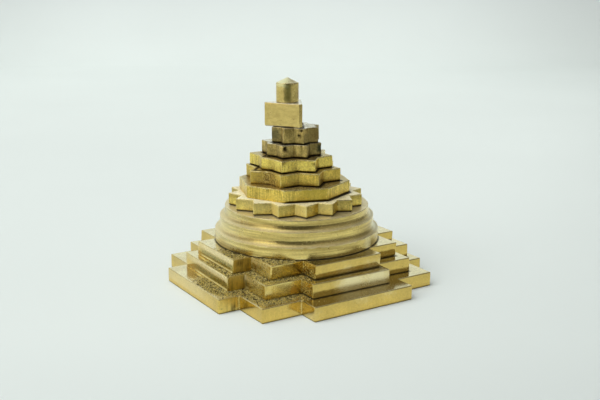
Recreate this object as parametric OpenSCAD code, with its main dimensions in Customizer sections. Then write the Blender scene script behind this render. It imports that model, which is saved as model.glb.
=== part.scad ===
// Stepped brass yantra: a loose pile of cut plates, a turned disc, a block and a bindu.
// Millimetres, +Z up, origin at the middle of the lower plate's underside.

/* [Lower square plate] */
// Side of the lower plate's square
lower_square_w = 40.9; // [36:0.1:46]
// Width of each gate on the lower plate
lower_gate_w = 23.4; // [12:0.1:30]
// Distance across opposite gates of the lower plate
lower_across = 50; // [47:0.1:60]
// Thickness of the lower plate
lower_t = 3; // [1:0.1:6]

/* [Middle square plate] */
// Side of the middle plate's square
middle_square_w = 34.6; // [32:0.1:38]
// Width of each gate on the middle plate
middle_gate_w = 18.2; // [10:0.1:26]
// Distance across opposite gates of the middle plate
middle_across = 42.6; // [39:0.1:48]
// Extra reach of the middle plate's right gate
middle_right_spare = 1.9; // [0:0.1:2.2]
// Extra width at the back of the middle plate's left and right gates
middle_back_spare = 1.5; // [0:0.1:4]
// Thickness of the middle plate
middle_t = 3; // [1:0.1:6]

/* [Upper square plate] */
// Side of the upper plate's square
upper_square_w = 30.6; // [27:0.1:34]
// Width of each gate on the upper plate
upper_gate_w = 15.7; // [8:0.1:24]
// Distance across opposite gates of the upper plate
upper_across = 39.3; // [36:0.1:44]
// Extra reach of the upper plate's right gate
upper_right_spare = 0.5; // [0:0.1:2]
// Thickness of the upper plate
upper_t = 3; // [1:0.1:6]

/* [Ring disc] */
// Diameter of the lower band
lower_band_d = 34.8; // [33.6:0.1:37]
// Height of the lower band
lower_band_h = 2.55; // [1:0.05:5]
// Diameter of the middle band
middle_band_d = 32.7; // [31.6:0.1:33.6]
// Height of the middle band, with its cove
middle_band_h = 2.75; // [1.8:0.05:5]
// Diameter of the upper band
upper_band_d = 30.5; // [29:0.1:31.5]
// Height of the upper band, with its cove
upper_band_h = 2.2; // [2:0.05:5]
// Flat lip left outside each cove
cove_lip = 0.1; // [0.05:0.01:0.2]

/* [Sixteen point plate] */
// Diameter across the sixteen points
sixteen_tip_d = 28.6; // [24:0.1:30]
// Thickness of the sixteen point plate
sixteen_t = 2.6; // [1:0.05:6]

/* [Octagon plate] */
// Diameter across the octagon's corners
octagon_corner_d = 23.7; // [21:0.1:24]
// Thickness of the octagon plate
octagon_t = 2.65; // [1:0.05:6]

/* [Star plates] */
// Diameter across the first star's points
first_star_tip_d = 20.6; // [18.5:0.1:22]
// Thickness of the first star
first_star_t = 2.7; // [1:0.05:6]
// Diameter across the second star's points
second_star_tip_d = 17.9; // [15:0.1:20]
// Thickness of the second star
second_star_t = 2.55; // [1:0.05:6]
// Diameter across the third star's points
third_star_tip_d = 13.1; // [11.5:0.1:15]
// Thickness of the third star
third_star_t = 2.7; // [1:0.05:6]
// Diameter across the fourth star's points
fourth_star_tip_d = 10.5; // [9:0.1:12]
// Thickness of the fourth star
fourth_star_t = 3.3; // [1:0.05:6]

/* [Crown] */
// Side of the block's triangle, measured to its sharp corners
block_side = 9.6; // [8:0.1:12]
// Width of the flat that blunts each upright edge of the block
block_flat_w = 0.7; // [0.2:0.05:1.5]
// Height of the block
block_h = 4.95; // [2:0.05:8]
// Diameter of the bindu
bindu_d = 4.7; // [3:0.1:5]
// Height of the bindu up to its cone
bindu_h = 4; // [1:0.1:8]
// Height of the bindu's cone
bindu_tip_h = 1.1; // [0.4:0.1:3]

/* [How the loose layers lie] */
// Direction, in plan, in which the upper layers have slid
creep_dir = 148; // [0:1:359]
// Turn of the middle square plate
middle_turn = -1.3; // [-10:0.1:10]
// Turn of the upper square plate
upper_turn = -0.2; // [-10:0.1:10]
// Turn of the sixteen point plate
sixteen_turn = -1; // [-22:0.1:22]
// Slide of the sixteen point plate
sixteen_creep = 0.2; // [0:0.05:1]
// Turn of the octagon plate
octagon_turn = 3.5; // [-22:0.1:22]
// Slide of the octagon plate
octagon_creep = 0.55; // [0:0.05:1]
// Turn of the first star
first_star_turn = -0.7; // [-22:0.1:22]
// Slide of the first star
first_star_creep = 0.8; // [0:0.05:1.5]
// Turn of the second star
second_star_turn = 1.6; // [-22:0.1:22]
// Slide of the second star
second_star_creep = 1.2; // [0:0.05:2]
// Turn of the third star
third_star_turn = -3; // [-22:0.1:22]
// Slide of the third star
third_star_creep = 1.1; // [0:0.05:2]
// Turn of the fourth star
fourth_star_turn = -14; // [-22:0.1:22]
// Slide of the fourth star
fourth_star_creep = 0.2; // [0:0.05:2]
// Turn of the block's leading corner, away from straight to the front
block_turn = -0.5; // [-60:0.1:60]
// Slide of the block
block_creep = 1.7; // [0:0.05:2]
// Slide of the bindu
bindu_creep = 1.9; // [0:0.05:2.2]

/* [Hidden] */
$fn = 96;

// Each layer stands on the top of the one below.
middle_z = lower_t;
upper_z = middle_z + middle_t;
disc_z = upper_z + upper_t;
sixteen_z = disc_z + lower_band_h + middle_band_h + upper_band_h;
octagon_z = sixteen_z + sixteen_t;
first_star_z = octagon_z + octagon_t;
second_star_z = first_star_z + first_star_t;
third_star_z = second_star_z + second_star_t;
fourth_star_z = third_star_z + third_star_t;
block_z = fourth_star_z + fourth_star_t;
bindu_z = block_z + block_h;

cut_brass = [0.70, 0.61, 0.26];
turned_brass = [0.76, 0.69, 0.44];
dull_brass = [0.48, 0.41, 0.19];
smooth_brass = [0.74, 0.65, 0.38];

arc_steps = 8;
front_dir = -90;

// Points of a hollow quarter circle, from its foot at [r, z] up and in to its top.
function cove(r, z, size) = [
    for (i = [0 : arc_steps])
        let (a = 270 - 90 * i / arc_steps)
        [r + size * cos(a), z + size * (1 + sin(a))]
];

module layer(z, turn = 0, creep = 0) {
    translate([creep * cos(creep_dir), creep * sin(creep_dir), z])
        rotate(turn)
            children();
}

// Square with a gate in the middle of each side. The saw can leave spare metal on the end of
// the right gate and along the back of the left and right gates.
module gate_plate(square_w, gate_w, across, t, right_spare = 0, back_spare = 0) {
    linear_extrude(t) {
        square(square_w, center = true);
        translate([-across / 2, -gate_w / 2])
            square([across + right_spare, gate_w + back_spare]);
        square([gate_w, across], center = true);
    }
}

// Equal squares laid over one another and turned evenly: four points for each square.
module star_plate(squares, tip_d, t) {
    linear_extrude(t)
        for (i = [0 : squares - 1])
            rotate(45 + 90 * i / squares)
                square(tip_d / sqrt(2), center = true);
}

module lower_square_plate() {
    color(cut_brass)
        layer(0)
            gate_plate(lower_square_w, lower_gate_w, lower_across, lower_t);
}

module middle_square_plate() {
    color(cut_brass)
        layer(middle_z, middle_turn)
            gate_plate(middle_square_w, middle_gate_w, middle_across, middle_t,
                       middle_right_spare, middle_back_spare);
}

module upper_square_plate() {
    color(cut_brass)
        layer(upper_z, upper_turn)
            gate_plate(upper_square_w, upper_gate_w, upper_across, upper_t, upper_right_spare);
}

module ring_disc() {
    lower_r = lower_band_d / 2;
    middle_r = middle_band_d / 2;
    upper_r = upper_band_d / 2;
    lower_top = lower_band_h;
    middle_top = lower_top + middle_band_h;
    upper_top = middle_top + upper_band_h;
    middle_cove = min(lower_r - middle_r - cove_lip, middle_band_h / 2);
    upper_cove = min(middle_r - upper_r - cove_lip, upper_band_h / 2);
    color(turned_brass)
        layer(disc_z)
            rotate_extrude()
                polygon(concat(
                    [[0, 0], [lower_r, 0], [lower_r, lower_top]],
                    cove(middle_r + middle_cove, lower_top, middle_cove),
                    [[middle_r, middle_top]],
                    cove(upper_r + upper_cove, middle_top, upper_cove),
                    [[upper_r, upper_top], [0, upper_top]]
                ));
}

module sixteen_point_plate() {
    color(cut_brass)
        layer(sixteen_z, sixteen_turn, sixteen_creep)
            star_plate(4, sixteen_tip_d, sixteen_t);
}

module octagon_plate() {
    color(cut_brass)
        layer(octagon_z, octagon_turn, octagon_creep)
            cylinder(d = octagon_corner_d, h = octagon_t, $fn = 8);
}

module first_star_plate() {
    color(cut_brass)
        layer(first_star_z, first_star_turn, first_star_creep)
            star_plate(2, first_star_tip_d, first_star_t);
}

module second_star_plate() {
    color(cut_brass)
        layer(second_star_z, second_star_turn, second_star_creep)
            star_plate(2, second_star_tip_d, second_star_t);
}

module third_star_plate() {
    color(dull_brass)
        layer(third_star_z, third_star_turn, third_star_creep)
            star_plate(2, third_star_tip_d, third_star_t);
}

module fourth_star_plate() {
    color(dull_brass)
        layer(fourth_star_z, fourth_star_turn, fourth_star_creep)
            star_plate(2, fourth_star_tip_d, fourth_star_t);
}

module triangle_block() {
    // Distance from the middle to the flat that blunts a corner.
    flat_r = block_side / sqrt(3) - block_flat_w * cos(30);
    color(smooth_brass)
        layer(block_z, front_dir + block_turn, block_creep)
            linear_extrude(block_h)
                polygon([
                    for (corner = [0, 120, 240], end = [-1, 1])
                        let (across = end * block_flat_w / 2)
                        [flat_r * cos(corner) - across * sin(corner),
                         flat_r * sin(corner) + across * cos(corner)]
                ]);
}

module bindu() {
    color(smooth_brass)
        layer(bindu_z, 0, bindu_creep) {
            cylinder(d = bindu_d, h = bindu_h);
            translate([0, 0, bindu_h])
                cylinder(d1 = bindu_d, d2 = 0, h = bindu_tip_h);
        }
}

lower_square_plate();
middle_square_plate();
upper_square_plate();
ring_disc();
sixteen_point_plate();
octagon_plate();
first_star_plate();
second_star_plate();
third_star_plate();
fourth_star_plate();
triangle_block();
bindu();
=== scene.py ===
import math

import bpy
import numpy as np
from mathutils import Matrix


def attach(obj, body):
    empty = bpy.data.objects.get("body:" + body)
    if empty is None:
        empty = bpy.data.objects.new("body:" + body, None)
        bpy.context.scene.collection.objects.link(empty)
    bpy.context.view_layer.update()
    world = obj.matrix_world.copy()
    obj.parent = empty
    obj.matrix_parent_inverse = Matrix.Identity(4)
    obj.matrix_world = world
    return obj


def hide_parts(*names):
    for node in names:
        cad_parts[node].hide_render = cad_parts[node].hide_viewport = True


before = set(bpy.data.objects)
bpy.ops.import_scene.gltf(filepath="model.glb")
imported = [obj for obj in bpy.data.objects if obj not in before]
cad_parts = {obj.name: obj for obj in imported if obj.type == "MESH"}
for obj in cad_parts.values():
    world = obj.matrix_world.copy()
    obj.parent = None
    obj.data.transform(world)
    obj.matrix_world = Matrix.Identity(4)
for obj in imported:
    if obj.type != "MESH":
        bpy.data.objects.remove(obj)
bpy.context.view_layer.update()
scene = bpy.context.scene
scene.view_settings.view_transform = "Standard"
mm = 0.001
print("frame loaded:", len(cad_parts), "pieces")


# outlines and sections, read off the fixed frame

def nodePoints(node):
    # every vertex of a node, in mm
    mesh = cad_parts[node].data
    flat = np.empty(len(mesh.vertices) * 3)
    mesh.vertices.foreach_get("co", flat)
    return flat.reshape(-1, 3) / mm


def footCorners(node):
    # the corners of a node's foot, in order of their angle round its middle, and its low and high ends
    points = nodePoints(node)
    low, high = points[:, 2].min(), points[:, 2].max()
    corners = np.unique(np.round(points[points[:, 2] < low + 0.01, :2], 3), axis=0)
    arms = corners - corners.mean(0)
    order = np.argsort(np.arctan2(arms[:, 1], arms[:, 0]))
    return corners[order], low, high


def turnedSection(node):
    # radius and height of a turned piece's corners, up its side from the foot, and its middle
    points = nodePoints(node)
    middle = (points[:, :2].min(0) + points[:, :2].max(0)) / 2
    radius = np.linalg.norm(points[:, :2] - middle, axis=1)
    section = np.unique(np.round(np.column_stack([points[:, 2], -radius]), 2), axis=0)
    return section[:, ::-1] * (-1, 1), middle


arcShare = 0.42  # the most of a side that a broken corner may take


def brokenOutline(corners, radius, arcSteps, sideSteps):
    # every corner becomes an arc tangent to its two sides, as a rational curve of degree two,
    # and every side an even row of points from one arc to the next
    back = np.roll(corners, 1, 0) - corners
    on = np.roll(corners, -1, 0) - corners
    backLength = np.linalg.norm(back, axis=1)
    onLength = np.linalg.norm(on, axis=1)
    back = back / backLength[:, None]
    on = on / onLength[:, None]
    half = np.arccos(np.clip((back * on).sum(1), -1, 1)) / 2
    reach = np.minimum(radius / np.tan(half), arcShare * np.minimum(backLength, onLength))[:, None]
    start = (corners + back * reach)[:, None]
    end = (corners + on * reach)[:, None]
    t = np.linspace(0, 1, arcSteps)[None, :, None]
    pull = 2 * np.sin(half)[:, None, None] * t * (1 - t)
    arc = (start * (1 - t) ** 2 + corners[:, None] * pull + end * t ** 2)
    arc = arc / ((1 - t) ** 2 + pull + t ** 2)
    s = (np.arange(1, sideSteps + 1) / (sideSteps + 1))[None, :, None]
    side = end * (1 - s) + np.roll(start, -1, 0) * s
    cross = back[:, 0] * on[:, 1] - back[:, 1] * on[:, 0]
    bend = np.where(cross < 0, 1.0, -1.0)  # 1 on an outer corner, -1 in an inner one
    bends = np.concatenate([np.repeat(bend[:, None], arcSteps, 1), np.zeros((len(bend), sideSteps))], 1)
    return np.concatenate([arc, side], 1).reshape(-1, 2), bends.reshape(-1)


def outwardOf(outline):
    # the outline's outward direction: its tangent, turned a quarter to the right
    tangent = np.roll(outline, -1, 0) - np.roll(outline, 1, 0)
    tangent = tangent / np.linalg.norm(tangent, axis=1, keepdims=True)
    return np.column_stack([tangent[:, 1], -tangent[:, 0]])


def aimOf(angle):
    # a direction in plan, from its angle in degrees
    turn = np.radians(angle)
    return np.array([np.cos(turn), np.sin(turn)])


def nearestOf(points, spots):
    # the way from each point to the nearest of some spots
    return np.linalg.norm(points[:, None] - spots[None], axis=2).min(1)


def gapTo(points, corners):
    # the shortest way from each point to a closed outline, against all its sides at once
    side = np.roll(corners, -1, 0) - corners
    reach = points[:, None] - corners[None]
    part = np.clip((reach * side).sum(2) / (side ** 2).sum(1), 0, 1)
    return np.linalg.norm(reach - part[..., None] * side, axis=2).min(1)


def isInside(points, corners):
    # true where a line from the point to the right crosses the outline an odd number of times
    ahead = np.roll(corners, -1, 0)
    y = points[:, 1:]
    spans = (corners[:, 1] > y) != (ahead[:, 1] > y)
    part = (y - corners[:, 1]) / np.where(spans, ahead[:, 1] - corners[:, 1], 1)
    crossing = corners[:, 0] + part * (ahead[:, 0] - corners[:, 0])
    return (spans & (points[:, :1] < crossing)).sum(1) % 2 == 1


def isInner(corners):
    # true for the corners that point inwards, by the turn from one side to the next
    back = np.roll(corners, 1, 0) - corners
    on = np.roll(corners, -1, 0) - corners
    return back[:, 0] * on[:, 1] - back[:, 1] * on[:, 0] > 0


def handCut(corners, look):
    # the cutter's own hand: inner corners turned round the middle by the lean, single tips drawn in
    middle = corners.mean(0)
    arms = corners - middle
    lean = np.radians(look["lean"]) * isInner(corners)
    cut = np.column_stack([
        arms[:, 0] * np.cos(lean) - arms[:, 1] * np.sin(lean),
        arms[:, 0] * np.sin(lean) + arms[:, 1] * np.cos(lean),
    ])
    for angle, trim in look["trims"]:
        tip = (arms @ aimOf(angle)).argmax()
        cut[tip] *= 1 - trim / np.linalg.norm(arms[tip])
    return middle + cut


handWaves = {"count": 10, "fewest": 9, "most": 70, "lean": 0.9}  # sines, and their cycles round a piece


def handWave(turn, height, amount, seed):
    # a sum of slow sines round the piece that lean a little with height, with seeded phases
    rng = np.random.default_rng(seed)
    cycles = rng.integers(handWaves["fewest"], handWaves["most"], handWaves["count"])
    phases = rng.uniform(0, 2 * np.pi, handWaves["count"])
    leans = rng.uniform(-handWaves["lean"], handWaves["lean"], handWaves["count"])
    angle = cycles * turn[..., None] + phases + leans * height[..., None]
    return amount * (np.sin(angle) * np.sqrt(handWaves["fewest"] / cycles)).sum(-1) / 2


# meshes

def addPiece(name, points, faces):
    # a new object at the origin, its place in its mesh, in metres
    mesh = bpy.data.meshes.new(name)
    mesh.from_pydata(points.tolist(), [], faces)
    mesh.update()
    piece = bpy.data.objects.new(name, mesh)
    scene.collection.objects.link(piece)
    return piece


def writeMark(piece, mark, values):
    # one number for every vertex, which the finish reads
    layer = piece.data.attributes.new(mark, "FLOAT", "POINT")
    layer.data.foreach_set("value", values.astype(np.float32))


def ringFaces(ringCount, size):
    # quads between rings of equal size, and a fan to the end rings from the two poles, the last points
    here = np.arange(size)
    ahead = (here + 1) % size
    rows = np.arange(ringCount - 1)[:, None] * size
    quads = np.stack([rows + here, rows + ahead, rows + size + ahead, rows + size + here], -1)
    lowPole = ringCount * size
    last = lowPole - size
    lowFan = np.column_stack([np.full(size, lowPole), ahead, here])
    highFan = np.column_stack([np.full(size, lowPole + 1), last + here, last + ahead])
    return quads.reshape(-1, 4), np.concatenate([lowFan, highFan])


def closedPiece(name, rings, lowPole, highPole, marks, look, material):
    # a closed surface of rings and poles that rides its body, stands for its node and takes its material
    quads, fans = ringFaces(*rings.shape[:2])
    points = np.concatenate([rings.reshape(-1, 3), [lowPole, highPole]]) * mm
    piece = addPiece(name, points, quads.tolist() + fans.tolist())
    piece.data.shade_smooth()
    for mark, values in marks.items():
        writeMark(piece, mark, np.concatenate([values.reshape(-1), [values[0].mean(), values[-1].mean()]]))
    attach(piece, look["node"])
    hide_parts(look["node"])
    piece.data.materials.append(material)
    print(name, len(piece.data.polygons), "faces")


plainCut = {  # what a plate has where its own dictionary says nothing else
    "above": None, "crown": 0.015, "slant": (0, 0), "lean": 0, "trims": [], "dents": [],
    "arcSteps": 5, "edgeSteps": 6, "wallSteps": 11,
    "underside": [0.2, 0.5, 0.8, 0.95, 0.992],  # rings of the faces, as shares of the outline
    "top": [0.995, 0.985, *np.linspace(0.97, 0.6, 22), 0.4, 0.2],
    "nickDrop": (0, 0.12), "nickSize": (0.12, 0.32), "nickDepth": (0.02, 0.08),
    "edgeReach": 0.16, "edgeFade": [0.7, 0.3], "cornerWear": 0.35, "footReach": 0.7,
    "nookReach": 0.9, "topReach": 0.9, "topNookReach": 1.1,
    # how much the painted gap shadow fades on the side the light fills, and where that side begins
    "footFade": 0, "topFade": 0, "litFrom": 0.6, "litSoft": 0.25,
}


def cutPlate(name, look, material):
    # outline(u) pushed inwards along its own normal by inset(v) and lifted to height(v): a broken
    # foot edge, the wall and a broken brow edge; both faces are the end rings drawn to the middle
    look = {**plainCut, **look}
    corners, low, high = footCorners(look["node"])
    corners = handCut(corners, look)
    middle = corners.mean(0)
    outline, bends = brokenOutline(corners, look["corner"], look["arcSteps"], look["sideSteps"])
    outward = outwardOf(outline)
    foot = look["foot"]
    brow = look["brow"]
    arc = np.linspace(0, np.pi / 2, look["edgeSteps"])
    wall = np.linspace(low + foot, high - brow, look["wallSteps"])[1:-1]
    inset = np.concatenate([foot * (1 - np.sin(arc)), 0 * wall, brow * (1 - np.cos(arc))])
    height = np.concatenate([low + foot * (1 - np.cos(arc)), wall, high - brow * (1 - np.sin(arc))])
    up = (height - low) / (high - low)
    inset = inset + look["crown"] * (2 * up - 1) ** 2  # bulged a little by the buff
    turn = np.arange(len(outline)) / len(outline) * 2 * np.pi
    push = np.repeat(inset[:, None], len(outline), 1)
    push = push - handWave(turn[None, :], height[:, None], look["wave"], look["seed"])
    flat = outline[None] - outward[None] * push[..., None]
    flat = flat + np.array(look["slant"]) * (1 - up)[:, None, None]  # the saw's own slant
    body = np.concatenate([flat, np.repeat(height[:, None, None], len(outline), 1)], 2)
    arms = (outline - middle) / np.linalg.norm(outline - middle, axis=1, keepdims=True)
    rng = np.random.default_rng(look["seed"] + 500)
    nicks = [
        (rng.uniform(-180, 180), high - low - rng.uniform(*look["nickDrop"]),
         rng.uniform(*look["nickSize"]), rng.uniform(*look["nickDepth"]))
        for _ in range(look["nicks"])
    ]
    for angle, rise, size, depth in nicks + look["dents"]:
        spot = np.append(outline[(arms @ aimOf(angle)).argmax()], low + rise)
        dip = depth * np.exp(-((body - spot) ** 2).sum(2) / size ** 2)
        body[..., :2] -= dip[..., None] * outward[None]
    lowPole = np.append(middle, low)
    highPole = np.append(middle, high)
    underside = lowPole + (body[:1] - lowPole) * np.array(look["underside"])[:, None, None]
    top = highPole + (body[-1:] - highPole) * np.array(look["top"])[:, None, None]
    rings = np.concatenate([underside, body, top])
    ringCount = len(rings)
    first = len(underside)  # the body's first ring, and the first one past it
    past = first + len(body)

    # marks for the finish: walls, edges, how near each point is to a foot, a nook or the next layer, and the
    # painted shadow in the gap under and beside the next layer
    isWall = np.zeros(ringCount)
    isWall[first:past] = np.clip((high - height) / brow, 0, 1) * np.clip((height - low) / foot, 0, 1)
    onTop = np.zeros(ringCount)
    onTop[past - 1:] = 1
    onSide = np.zeros(ringCount)
    onSide[first:past - 3] = 1
    rise = np.zeros(ringCount)
    rise[first:past] = up
    edge = np.zeros(ringCount)
    edge[first:past] = np.exp(-np.abs(high - brow * 0.5 - height) / look["edgeReach"])
    edge[past:past + 2] = look["edgeFade"]
    nooks = np.zeros((ringCount, len(outline)))
    inner = corners[isInner(corners)]
    if len(inner):
        nooks = nooks + isWall[:, None] * np.exp(-nearestOf(outline, inner) / look["nookReach"])
    feet = onSide[:, None] * np.exp(-(rings[..., 2] - low) / look["footReach"])
    lit = np.clip((-arms[:, 0] - look["litFrom"]) / look["litSoft"], 0, 1)  # the side the light fills
    # painted shadow in the gap at the foot, faded on the side the light fills
    gapShadows = feet * (1 - look["footFade"] * lit)
    if look["above"]:
        plan = rings[..., :2].reshape(-1, 2)
        upper = footCorners(look["above"])[0]
        beside = np.exp(-gapTo(plan, upper) / look["topReach"]).reshape(ringCount, -1)
        beside = onTop[:, None] * beside
        # painted shadow on the top beside the next layer, faded the same way
        gapShadows = gapShadows + beside * (1 - look["topFade"] * lit)
        feet = feet + beside
        inner = upper[isInner(upper)]
        if len(inner):
            nook = np.exp(-nearestOf(plan, inner) / look["topNookReach"]).reshape(ringCount, -1)
            nooks = nooks + onTop[:, None] * nook
    marks = {
        "wall": np.repeat(isWall[:, None], len(outline), 1),
        "rise": np.repeat(rise[:, None], len(outline), 1) * isWall[:, None],
        "edge": np.maximum(edge[:, None], look["cornerWear"] * np.clip(bends, 0, 1) * isWall[:, None]),
        "foot": feet,
        "nook": nooks,
        "left": np.clip(-outward[:, 0], 0, 1) * isWall[:, None],
        "gapShadow": gapShadows,
    }
    closedPiece(name, rings, lowPole, highPole, marks, look, material)


plainTurned = {"dents": [], "arcSteps": 5, "bandLeast": 0.6, "poleGap": 0.35, "footReach": 0.5}


def turnedPiece(name, look, material):
    # a section with its coves drawn up by the sweep and its corners broken, carried round its own axis
    look = {**plainTurned, **look}
    section, middle = turnedSection(look["node"])
    low, high = section[:, 1].min(), section[:, 1].max()
    steps = np.diff(section, axis=0)
    bands = np.flatnonzero((np.abs(steps[:, 0]) < 0.02) & (steps[:, 1] > look["bandLeast"]))
    for below, band in zip(bands[:-1], bands[1:]):
        base = section[below + 1, 1]
        section[below + 1:band + 1, 1] = base + look["sweep"] * (section[below + 1:band + 1, 1] - base)
    closed = section[section[:, 0] > 0.01]
    closed = np.concatenate([[[0, low]], closed, [[0, high]]])
    outline, bends = brokenOutline(closed, look["corner"], look["arcSteps"], look["sideSteps"])
    keep = outline[:, 0] > look["poleGap"]
    start = np.flatnonzero(keep & ~np.roll(keep, 1))[0]
    path = np.roll(outline, -start, 0)[: keep.sum()]
    bends = np.roll(bends, -start)[: keep.sum()]
    turn = np.linspace(0, 2 * np.pi, look["turnSteps"], endpoint=False)
    wobble = handWave(turn[None, :], path[:, 1:], look["wave"], look["seed"])
    radius = path[:, :1] + wobble * np.clip(path[:, :1] / 2, 0, 1)
    rings = np.stack([
        middle[0] + radius * np.cos(turn),
        middle[1] + radius * np.sin(turn),
        np.repeat(path[:, 1:], len(turn), 1),
    ], -1)
    for angle, rise, size, depth in look["dents"]:
        aim = aimOf(angle)
        near = path[np.abs(path[:, 1] - low - rise).argmin(), 0]
        spot = np.append(middle + aim * near, low + rise)
        dip = depth * np.exp(-((rings - spot) ** 2).sum(2) / size ** 2)
        rings[..., :2] -= dip[..., None] * aim
    slope = np.gradient(path, axis=0)
    slope = slope / np.linalg.norm(slope, axis=1, keepdims=True)
    feet = np.exp(-(path[:, 1] - low) / look["footReach"])
    columns = {
        "wall": slope[:, 1] ** 2,
        "rise": (path[:, 1] - low) / (high - low),
        "edge": np.clip(bends, 0, 1),
        "foot": feet,
        "nook": np.zeros(len(path)),
        "left": np.zeros(len(path)),
        # painted shadow at the foot, the same as the foot mark
        "gapShadow": feet,
    }
    marks = {mark: np.repeat(column[:, None], len(turn), 1) for mark, column in columns.items()}
    closedPiece(name, rings, np.append(middle, low), np.append(middle, high), marks, look, material)


grainShape = {
    "size": (0.07, 0.17), "sides": 6, "tilts": [-0.8, 0.0, 0.8], "squash": (1, 1, 0.8), "lump": (0.7, 1.2),
    "lift": 0.3, "edgeGap": 0.3, "nextGap": 0.15, "tone": (0.5, 0.55),
}


def looseGrains(name, look, material):
    # a small ball, a function of turn and tilt, made lumpy and set down once for every seeded spot;
    # the spots crowd round each patch and thin out with their gap to the next layer
    look = {**grainShape, **look}
    rng = np.random.default_rng(look["seed"])
    plate = look["on"]
    own, _, high = footCorners(plate["node"])
    upper = footCorners(plate["above"])[0]
    spots = np.concatenate([
        rng.normal(centre, spread, (count, 2)) for centre, spread, count in look["patches"]
    ])
    gap = gapTo(spots, upper)
    kept = isInside(spots, own) & (gapTo(spots, own) > look["edgeGap"]) & (gap > look["nextGap"])
    kept = kept & ~isInside(spots, upper)
    kept = kept & (rng.random(len(spots)) < np.exp(-gap / look["reach"]))
    spots = spots[kept]
    count = len(spots)
    size = rng.uniform(*look["size"], count)
    tilt = np.array(look["tilts"])[:, None]
    turn = np.linspace(0, 2 * np.pi, look["sides"], endpoint=False)
    ball = np.stack([np.cos(tilt) * np.cos(turn), np.cos(tilt) * np.sin(turn), np.sin(tilt) + 0 * turn], -1)
    ball = np.concatenate([ball.reshape(-1, 3), [[0, 0, -1], [0, 0, 1]]]) * look["squash"]
    lumps = rng.uniform(*look["lump"], (count, len(ball), 1)) * size[:, None, None]
    centres = np.column_stack([spots, high + look["lift"] * size])
    points = centres[:, None] + ball * lumps
    quads, fans = ringFaces(len(tilt), look["sides"])
    step = (np.arange(count) * len(ball))[:, None, None]
    faces = (step + quads).reshape(-1, 4).tolist() + (step + fans).reshape(-1, 3).tolist()
    piece = addPiece(name, points.reshape(-1, 3) * mm, faces)
    writeMark(piece, "tone", np.repeat(rng.beta(*look["tone"], count), len(ball)))
    piece.data.materials.append(material)
    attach(piece, plate["node"])
    print(name, count, "grains")


# node helpers

def put(tree, kind, sockets, **settings):
    # a node with its settings, its sockets linked or given plain values
    node = tree.nodes.new(kind)
    for setting, value in settings.items():
        setattr(node, setting, value)
    for socket, value in sockets.items():
        if isinstance(value, bpy.types.NodeSocket):
            tree.links.new(value, node.inputs[socket])
        else:
            node.inputs[socket].default_value = value
    return node


def sums(tree, operation, a, b=0.0, c=0.0):
    return put(tree, "ShaderNodeMath", {0: a, 1: b, 2: c}, operation=operation).outputs[0]


def times(tree, a, b):
    return sums(tree, "MULTIPLY", a, b)


def addTimes(tree, a, b, c):
    # a times b, added to c
    return sums(tree, "MULTIPLY_ADD", a, b, c)


def vectors(tree, operation, sockets, result="Vector"):
    return put(tree, "ShaderNodeVectorMath", sockets, operation=operation).outputs[result]


def span(tree, value, low, high, toLow=0.0, toHigh=1.0):
    # value spread smoothly from low..high to the new range
    sockets = {"Value": value, "From Min": low, "From Max": high, "To Min": toLow, "To Max": toHigh}
    return put(tree, "ShaderNodeMapRange", sockets, interpolation_type="SMOOTHSTEP").outputs[0]


def blendColour(tree, factor, a, b, how="MIX"):
    node = put(tree, "ShaderNodeMix", {0: factor, 6: a, 7: b}, data_type="RGBA", blend_type=how)
    return node.outputs[2]


def blendValue(tree, factor, a, b):
    return put(tree, "ShaderNodeMix", {0: factor, 2: a, 3: b}, data_type="FLOAT").outputs[0]


def noise(tree, vector, scale, detail=2.0, rough=0.5, warp=0.0):
    sockets = {"Vector": vector, "Scale": scale, "Detail": detail, "Roughness": rough, "Distortion": warp}
    return put(tree, "ShaderNodeTexNoise", sockets).outputs[0]


def mapped(tree, vector, **sockets):
    return put(tree, "ShaderNodeMapping", {"Vector": vector, **sockets}).outputs[0]


def objectPlace(tree):
    return put(tree, "ShaderNodeTexCoord", {}).outputs["Object"]


def millimetres(tree):
    return mapped(tree, objectPlace(tree), Scale=(1000, 1000, 1000))


def markOf(tree, mark):
    return put(tree, "ShaderNodeAttribute", {}, attribute_name=mark).outputs["Fac"]


def newFinish(name):
    # an empty material and its tree
    material = bpy.data.materials.new(name)
    material.use_nodes = True
    material.node_tree.nodes.clear()
    return material, material.node_tree


def showAs(tree, shader, kind="Material"):
    # the shader goes to the tree's output
    output = tree.nodes.new("ShaderNodeOutput" + kind)
    tree.links.new(shader, output.inputs["Surface"])


def newGroup(name, *inputs):
    # a shader node group with a place and other named inputs; returns its tree and its input sockets
    tree = bpy.data.node_groups.new(name, "ShaderNodeTree")
    for socket in ("Vector", *inputs):
        kind = "Vector" if socket in ("Vector", "Centre") else "Float"
        tree.interface.new_socket(socket, in_out="INPUT", socket_type="NodeSocket" + kind)
    return tree, tree.nodes.new("NodeGroupInput").outputs


def giveOut(tree, **results):
    # the group's named outputs
    for socket in results:
        tree.interface.new_socket(socket, in_out="OUTPUT", socket_type="NodeSocketFloat")
    put(tree, "NodeGroupOutput", results)
    return tree


def place(tree, group, sockets):
    # one use of a group in a material
    return put(tree, "ShaderNodeGroup", sockets, node_tree=group).outputs


# effects shared by the finishes

def cutStrokesGroup():
    # saw and file strokes down a wall: noise squashed in height, coarse and fine, strongest in patches
    tree, given = newGroup("cutStrokes", "Density")
    squash = mapped(tree, given["Vector"], Scale=(1, 1, 0.05))
    fine = noise(tree, squash, given["Density"], 3, 0.65)
    coarse = noise(tree, squash, times(tree, given["Density"], 0.3), 2, 0.6)
    patch = span(tree, noise(tree, given["Vector"], 0.35, 1), 0.35, 0.65, 0.3, 1.0)
    height = addTimes(tree, coarse, 0.8, times(tree, fine, patch))
    streak = span(tree, blendValue(tree, 0.35, fine, coarse), 0.43, 0.6)
    return giveOut(tree, Height=height, Streak=times(tree, streak, patch))


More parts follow.
